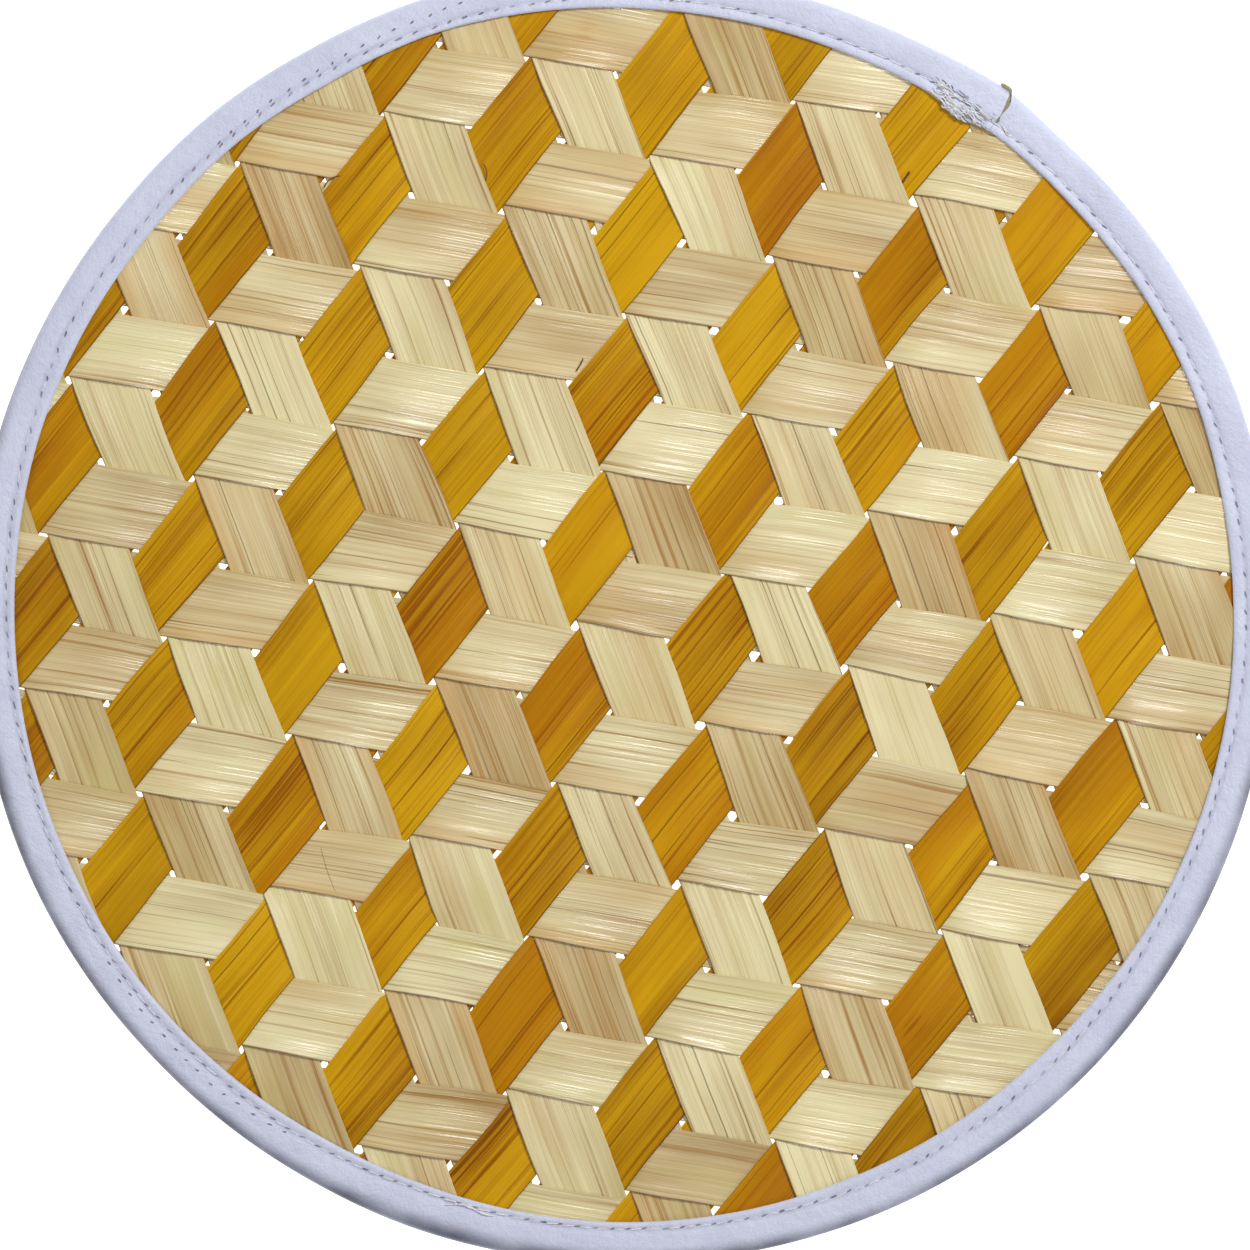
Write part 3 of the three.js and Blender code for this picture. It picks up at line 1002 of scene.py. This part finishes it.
def edge_tape(settings, material):
    """The tape: one length of vinyl folded over the weave's edge, its two ends meeting at the joint"""
    tape = Tape(settings)
    last = tape.stitches
    close = np.arange(0, FINE_STITCHES, FINE_STEP)
    stitch = np.unique(np.round(np.concatenate((
        np.arange(last * ROWS_A_STITCH + 1) / ROWS_A_STITCH, close, last - close,
    )), 3))[:, None]
    outer = tape.course("outer", stitch) * MM
    width = outer - tape.inner(stitch)
    fold_radius = MIDDLE_HEIGHT - settings.thickness / 2
    from_edge = np.array(TAPE_FACE)[:, 0] * MM
    outward = from_edge / from_edge[-1] * (width - MIDDLE_HEIGHT)
    upper = tape.height(stitch, outward)
    lower = -np.minimum(upper, fold_radius)[:, LOWER_FACE]
    turn = np.linspace(0, math.pi, 9)[1:-1]
    full = np.ones((len(stitch), 1))
    fold_inset = full * (MIDDLE_HEIGHT - fold_radius * np.sin(turn))
    inset = np.hstack((width - outward, fold_inset, (width - outward)[:, LOWER_FACE]))
    height = np.hstack((upper, full * fold_radius * np.cos(turn), lower))
    cut_inset, first_cut, last_cut = np.array(JOINT_CUT).T * MM
    is_upper = np.arange(inset.shape[1]) < len(from_edge) + len(turn) // 2
    first_end = np.where(is_upper, np.interp(inset, cut_inset, first_cut), 0.0)
    last_end = np.where(is_upper, np.interp(inset, cut_inset, last_cut), LOWER_GAP)
    way = tape.way(stitch)
    shift = first_end * np.exp(-way / JOINT_REACH) + last_end * np.exp((way - SEAM_LENGTH) / JOINT_REACH)
    place = tape.angle(stitch) - shift / outer
    radius = outer - inset
    points = round_place(radius, place, height)
    across = np.cumsum(np.hypot(np.diff(inset, axis=1, prepend=inset[:, :1]),
                                np.diff(height, axis=1, prepend=height[:, :1])), axis=1)
    flat = np.dstack(np.broadcast_arrays(stitch * settings.stitch, across - tape.seam(stitch)))
    piece = sheet_piece("bound_edge_tape", points, flat, material, settings.thickness)
    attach(piece, "root")
    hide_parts("edge_tape")
    return piece


def needle_marks(add, place, settings, offset, length, width):
    """How deep a row of needle marks beside the seam is, 0 to 1: short, slightly slanted, one a stitch"""
    along = add(PARTS, place)
    sway = add(SUBTRACT, add(NOISE, place, 1 / (6 * MM), 1.0), 0.5)
    across = add(SUBTRACT, along.node.outputs["Y"], offset)
    across = add(MULTIPLY_ADD, sway, 1.2 * MM, across)
    shifted = add(MULTIPLY_ADD, sway, 2.0 * MM, along)
    x = add(WRAP, shifted, settings.stitch / 2, -settings.stitch / 2)
    y = add(MULTIPLY_ADD, x, 0.25, across)
    sizes = ((x, length), (y, width))
    x, y = (add(POWER, add(DIVIDE, value, size / 2), 2.0) for value, size in sizes)
    return add(SMOOTH_RANGE, add(ADD, x, y), 1.3, 0.2)


# Where the tape's outer edge is darkened with painted shade, as its rounded fold turns away from the light:
# the side of the mat in degrees, and the middle and half the width of it, out from the seam. The opposite
# side has none.
RIM_SHADE_SIDE = 262
RIM_SHADE_MIDDLE = 7.8 * MM
RIM_SHADE_HALF = 3.8 * MM

# The middle of the painted shade in the crease that the seam pulls into the tape, out from the seam
SEAM_SHADE_MIDDLE = 0.5 * MM


def embossed_vinyl(settings):
    """Soft vinyl embossed with a fine leather grain: pale lavender, finely creased, with a satin sheen"""
    material, add = new_material("embossed_vinyl")
    place = add(FLAT_PLACE)
    along = add(PARTS, place)
    across = along.node.outputs["Y"]
    stitches = round(SEAM_LENGTH / settings.stitch)

    # Needle marks at the stitches, fainter ones here and there, and the older rows
    marks = needle_marks(add, place, settings, 0.1 * MM, 1.5 * MM, 0.5 * MM)
    fainter = add(NOISE, place, 1 / (11 * MM), 1.0)
    marks = add(MULTIPLY, marks, add(RANGE, fainter, 0.36, 0.56, 0.4, 1.0))
    for *ends, first_offset, last_offset in NEEDLE_ROWS:
        first, last = (stitch_at(degrees, stitches) * settings.stitch for degrees in ends)
        offset = add(RANGE, along, first, last, first_offset * MM, last_offset * MM)
        row = needle_marks(add, place, settings, offset, 1.0 * MM, 0.45 * MM)
        row = add(MULTIPLY, row, add(GREATER, along, first))
        row = add(MULTIPLY, row, add(LESS, along, last))
        marks = add(MAXIMUM, marks, row)

    # Where the seam was sewn over twice and the edge is chewed: cracks 0.5 mm wide and 3 mm long
    cracks = add(SMOOTH_RANGE, stripes(add, place, 0.5, 3, 5.7), 0.5, 0.62)
    cracks = add(MULTIPLY, cracks, add(COMPARE, along, CHEWED_MIDDLE, 1.5 * CHEWED_REACH))
    cracks = add(MULTIPLY, cracks, add(COMPARE, across, -0.6 * CHEWED_DEPTH, 1.6 * CHEWED_DEPTH))

    # The painted shade in the crease beside the seam, and the painted shade on the outer edge on its shaded
    # side
    # Painted shade in the crease beside the seam
    seam_shade = add(ABSOLUTE, add(SUBTRACT, across, SEAM_SHADE_MIDDLE))
    seam_shade = add(SMOOTH_RANGE, seam_shade, 0.1 * MM, 0.9 * MM, 0.4, 0.0)
    seam_shade = add(MULTIPLY, seam_shade, add(RANGE, fainter, 0.4, 0.6, 0.4, 1.0))
    turned = add(MULTIPLY_ADD, along, math.tau / (stitches * settings.stitch),
                 JOINT_ANGLE - math.radians(RIM_SHADE_SIDE))
    turned = add(SMOOTH_RANGE, add(COSINE, turned), -0.6, 0.2)
    # outer: painted shade on the rounded outer edge, strongest on the side away from the light
    outer = add(ABSOLUTE, add(SUBTRACT, across, RIM_SHADE_MIDDLE))
    outer = add(MULTIPLY, add(SMOOTH_RANGE, outer, 0.0, RIM_SHADE_HALF, 1.0, 0.0), turned)
    outer = add(MULTIPLY, outer, add(RANGE, fainter, 0.3, 0.6, 0.6, 1.0))

    # Painted shade darkens the crease and the outer edge on its shaded side, dusty clouds some centimetres
    # wide are darker, and painted shade darkens the cracks and the needle marks
    clouds = add(SMOOTH_RANGE, add(NOISE, place, 1 / (14 * MM), 3.0), 0.3, 0.7, 0.0, 0.35)
    shades = (
        (clouds, "#BFC2DC"),
        (seam_shade, "#A3A4BC"),
        (outer, "#66677A"),
        (add(MULTIPLY, cracks, 0.8), "#77747A"),
        (add(MULTIPLY, marks, 0.8), "#6E6C7C"),
    )
    colour = settings.vinyl
    for share, shade in shades:
        colour = add(MIX, share, colour, linear(shade))

    # Leather cells 1.1 mm wide, slanted creases 0.7 mm wide and 4 mm long, and soft dents
    cells = add(SMOOTH_RANGE, add(CELLS, place, 1 / (1.1 * MM), feature="DISTANCE_TO_EDGE"), 0.0, 0.2)
    slanted = add(MAPPING, place, None, (0, 0, math.radians(35)))
    dents = add(NOISE, place, 1 / (2.5 * MM), 2.0)
    relief = stripes(add, slanted, 0.7, 4, 1.3)
    for share, height in ((cells, 0.35), (dents, 3.0), (marks, -3.0), (cracks, -3.0)):
        relief = add(MULTIPLY_ADD, share, height, relief)
    return finished(material, {
        "Base Color": colour,
        "Roughness": 0.5,
        "Normal": add(BUMP, 1.0, 0.1 * MM, None, relief),
    })


def woven_backing(settings):
    """The cotton backing of vinyl: greyish olive, matt, woven of threads 0.4 mm apart"""
    material, add = new_material("woven_cotton_backing")
    weave = add(CELLS, add(PLACE).node.outputs["Object"], 1 / (0.4 * MM))
    shade = add(SMOOTH_RANGE, weave, 0.0, 0.8, 1.05, 0.75)
    return finished(material, {
        "Base Color": add(SCALE, tuple(settings.backing), shade),
        "Roughness": 0.9,
    })


# Where the backing shows at the joint, as a curled scrap and below the slit: places clockwise from the
# joint's line, from the mat's middle and over its middle plane, in millimetres
CURLED_SCRAP = [
    (0.3, 150.2, 1.2), (-0.2, 150.7, 1.1), (-0.9, 150.9, 0.9), (-1.6, 150.85, 0.8), (-2.3, 150.8, 0.7),
    (-3.0, 150.75, 0.7),
]
UNDER_THE_SLIT = [
    (2.4, 141.3, 0.9), (1.9, 143.6, 0.95), (1.3, 146.0, 1.0), (1.1, 147.5, 1.05), (0.9, 149.0, 0.9),
    (0.5, 149.9, 0.5),
]


def frayed_end(settings):
    """The tape's backing at the joint: a curled scrap outside the fold, and what the slit lays bare"""
    shells = []
    for way, width, thick in ((CURLED_SCRAP, 0.95, 0.9), (UNDER_THE_SLIT, 2.6, 0.25)):
        clockwise, radius, height = np.array(way).T * MM
        path = round_place(radius, JOINT_ANGLE - clockwise / radius, height)
        shells.append(tube(path, width * MM, thick * MM, 8))
    return shell_piece("frayed_tape_end", shells, woven_backing(settings))


class PLACEMAT_OT_edge_tape(Undoable, Operator):
    """Folds the edge tape over the weave's trimmed edge"""

    bl_idname = "placemat.edge_tape"
    bl_label = "Edge Tape"

    def execute(self, context):
        settings = context.scene.placemat_tape
        edge_tape(settings, embossed_vinyl(settings))
        frayed_end(settings)
        return {"FINISHED"}


# The sewing

# Where loose ends and doubled threads lie on the tape: from and to in degrees, how many, and in millimetres
# how long, and the least and the most that they lie out from the inner edge
THREAD_ENDS = [
    (54.3, 59.2, 44, 5.0, 0.4, 4.4),
    (254.0, 258.5, 5, 8.0, 1.3, 2.2),
    (49.5, 52.5, 2, 4.0, 1.6, 2.2),
]


# A stitch, in millimetres: how deep it is sunk in the vinyl above and below, how much it rises where the
# thread shows, and how deep its ends dip
STITCH_SUNK = 0.2
LOWER_SUNK = 0.1
STITCH_RISE = 0.38
STITCH_DIP = 0.25

# Its slant and how much that varies, in radians, and how much the way that the thread shows varies
SLANT = 0.06
SLANT_SPREAD = 0.05
SHOWS_SPREAD = 0.2


def spun_thread(settings):
    """Spun sewing thread: white and soft, its plies twisted once a millimetre"""
    material, add = new_material("spun_sewing_thread")
    plies = add(NOISE, add(PLACE).node.outputs["Object"], 1 / (0.5 * MM), 1.0)
    plies = add(SMOOTH_RANGE, plies, 0.35, 0.65, 0.82, 1.0)
    return finished(material, {
        "Base Color": add(SCALE, tuple(settings.thread_colour), plies),
        "Roughness": 0.6,
    })


def model_stitch():
    """A stitch one metre long and wide, drawn in at both ends"""
    bpy.ops.object.select_all(action="DESELECT")
    bpy.ops.mesh.primitive_uv_sphere_add(segments=6, ring_count=8, radius=0.5)
    stitch = bpy.context.object
    points = np.array([v.co for v in stitch.data.vertices])[:, (2, 0, 1)]
    faces = [tuple(polygon.vertices) for polygon in stitch.data.polygons]
    mesh = stitch.data
    bpy.data.objects.remove(stitch)
    bpy.data.meshes.remove(mesh)
    return points, faces


def seam_piece(settings, material):
    """The lockstitch seam on the upper and the lower side of the tape, with its loose ends"""
    tape = Tape(settings)
    stitch_points, faces = model_stitch()
    rng = np.random.default_rng(5)
    shells = []
    for number in np.arange(tape.stitches) + 0.5:
        shows = np.clip(tape.course("thread", number) + rng.normal(0, SHOWS_SPREAD), 0, 1)
        for side in (1, -1):
            angle, outward = tape.angle(number), tape.seam(number)
            lift = (STITCH_RISE * shows - STITCH_SUNK) * MM if side > 0 else -LOWER_SUNK * MM
            x, y, z = stitch_points.T
            x = x * settings.stitch * (0.6 + 0.3 * shows)
            y = y * settings.thread
            z = z * settings.thread - STITCH_DIP * MM * (2 * x / settings.stitch) ** 2 + lift
            turn = angle + math.pi / 2 + SLANT + rng.normal(0, SLANT_SPREAD)
            radius = tape.inner(number) + outward
            height = tape.height(number, outward) + settings.thickness / 2 + z
            shells.append((np.stack((
                radius * math.cos(angle) + x * math.cos(turn) - y * math.sin(turn),
                radius * math.sin(angle) + x * math.sin(turn) + y * math.cos(turn),
                np.maximum(MIDDLE_HEIGHT + side * height, 0),
            ), axis=1), faces))
    for first, last, count, longest, nearest, farthest in THREAD_ENDS:
        for _ in range(count):
            degrees, outward = rng.uniform(first, last), rng.uniform(nearest, farthest) * MM
            start = stitch_at(degrees, tape.stitches)
            length = longest * rng.uniform(0.5, 1) * MM
            part = np.linspace(-0.5, 0.5, 10)
            sway = 0.2 * MM * np.sin(part * rng.uniform(3, 8) + rng.uniform(0, 6))
            sway = sway + rng.normal(0.04, 0.15) * length * part
            lift = settings.thread * (0.6 - 2.4 * part**2) + rng.uniform(0, 0.2) * MM
            stitch = start + part * length / settings.stitch
            sway = sway + CHEWED_DEPTH * (tape.near_chewed(stitch) - tape.near_chewed(start))
            path = tape.face_point(stitch, outward + sway, lift)
            shells.append(tube(path, settings.thread, settings.thread, 5))
    return shell_piece("lockstitch_seam", shells, material)


class PLACEMAT_OT_seam(Undoable, Operator):
    """Sews the tape down all round"""

    bl_idname = "placemat.seam"
    bl_label = "Seam"

    def execute(self, context):
        settings = context.scene.placemat_tape
        seam_piece(settings, spun_thread(settings))
        return {"FINISHED"}


# The stage

def white_floor():
    """A lit white table top, which shows white through the weave and lets no shadow darken it"""
    return finished(new_material("lit_white_floor")[0], {
        "Base Color": linear("#E7E7E7"),
        "Roughness": 0.9,
        "Emission Color": linear("#FFFFFF"),
        "Emission Strength": 0.9,
    })


# The lamps: degrees from the vertical and anticlockwise from the right-hand side, distance, length and
# width in metres, and the share of the light. The long one high over the mat gives the fibres their sheen.
LAMPS = [
    ("softbox", 42, 50, 1.5, 0.3, 0.3, 0.44),
    ("left_fill", 50, 170, 1.5, 0.9, 0.9, 0.1),
    ("lower_fill", 52, -60, 1.5, 0.9, 0.9, 0.1),
    ("strip_light", 7, 57, 3, 0.9, 0.35, 0.11),
]


# The middle of the picture on the mat, the pale warm light from all round, and the floor
PICTURE_MIDDLE = (0.35 * MM, -2.14 * MM)
SKY_COLOUR = linear("#FFFAF3")
SKY_STRENGTH = 0.18
FLOOR_SIZE = 6
FLOOR_HEIGHT = -0.05 * MM


class PLACEMAT_OT_stage(Undoable, Operator):
    """Lays the pale floor and sets the lamps and the camera"""

    bl_idname = "placemat.stage"
    bl_label = "Stage"

    def execute(self, context):
        settings = context.scene.placemat_stage
        bpy.ops.object.select_all(action="DESELECT")
        bpy.ops.mesh.primitive_plane_add(size=FLOOR_SIZE, location=(0, 0, FLOOR_HEIGHT))
        floor = context.object
        floor.name = "floor"
        floor.data.materials.append(white_floor())

        for name, tilt, turn, distance, length, width, share in LAMPS:
            tilt, turn = math.radians(tilt), math.radians(turn)
            way = np.array((
                math.sin(tilt) * math.cos(turn), math.sin(tilt) * math.sin(turn), math.cos(tilt)
            ))
            bpy.ops.object.light_add(type="AREA", location=distance * way, rotation=(0, tilt, turn))
            context.object.name = name
            lamp = context.object.data
            lamp.shape = "ELLIPSE"
            lamp.size, lamp.size_y = length, width
            lamp.energy = settings.brightness * share * (math.pi * distance) ** 2 / math.cos(tilt)

        world = bpy.data.worlds.new("soft_studio")
        world.use_nodes = True
        sky = world.node_tree.nodes["Background"]
        sky.inputs["Color"].default_value = (*SKY_COLOUR, 1)
        sky.inputs["Strength"].default_value = SKY_STRENGTH
        context.scene.world = world
        context.scene.view_settings.view_transform = "Standard"

        place = (*PICTURE_MIDDLE, settings.camera_height)
        bpy.ops.object.camera_add(location=place, rotation=(0, 0, 0))
        context.scene.camera = context.object
        camera = context.object.data
        distance = settings.camera_height - MIDDLE_HEIGHT
        camera.lens = camera.sensor_width * distance / settings.picture_width
        return {"FINISHED"}


class PLACEMAT_PT_sidebar(Panel):
    """Lists the pieces of the placemat"""

    bl_label = "Bamboo Placemat"
    bl_idname = "PLACEMAT_PT_sidebar"
    bl_space_type = "VIEW_3D"
    bl_region_type = "UI"
    bl_category = "Placemat"

    def draw(self, context):
        for operator in OPERATORS:
            self.layout.operator(operator.bl_idname)


OPERATORS = (
    PLACEMAT_OT_level_strips,
    PLACEMAT_OT_steep_strips,
    PLACEMAT_OT_gold_strips,
    PLACEMAT_OT_loose_fibres,
    PLACEMAT_OT_edge_tape,
    PLACEMAT_OT_seam,
    PLACEMAT_OT_stage,
)
SETTINGS = {
    "placemat_weave": PlacematWeaveSettings,
    "placemat_tape": PlacematTapeSettings,
    "placemat_stage": PlacematStageSettings,
}
CLASSES = (*SETTINGS.values(), *OPERATORS, PLACEMAT_PT_sidebar)


def register():
    for item in CLASSES:
        bpy.utils.register_class(item)
    for name, group in SETTINGS.items():
        setattr(bpy.types.Scene, name, PointerProperty(type=group))


def unregister():
    for name in SETTINGS:
        delattr(bpy.types.Scene, name)
    for item in reversed(CLASSES):
        bpy.utils.unregister_class(item)


def main():
    register()
    bpy.ops.placemat.level_strips()
    bpy.ops.placemat.steep_strips()
    bpy.ops.placemat.gold_strips()
    bpy.ops.placemat.loose_fibres()
    bpy.ops.placemat.edge_tape()
    bpy.ops.placemat.seam()
    bpy.ops.placemat.stage()


if __name__ == "__main__":
    main()
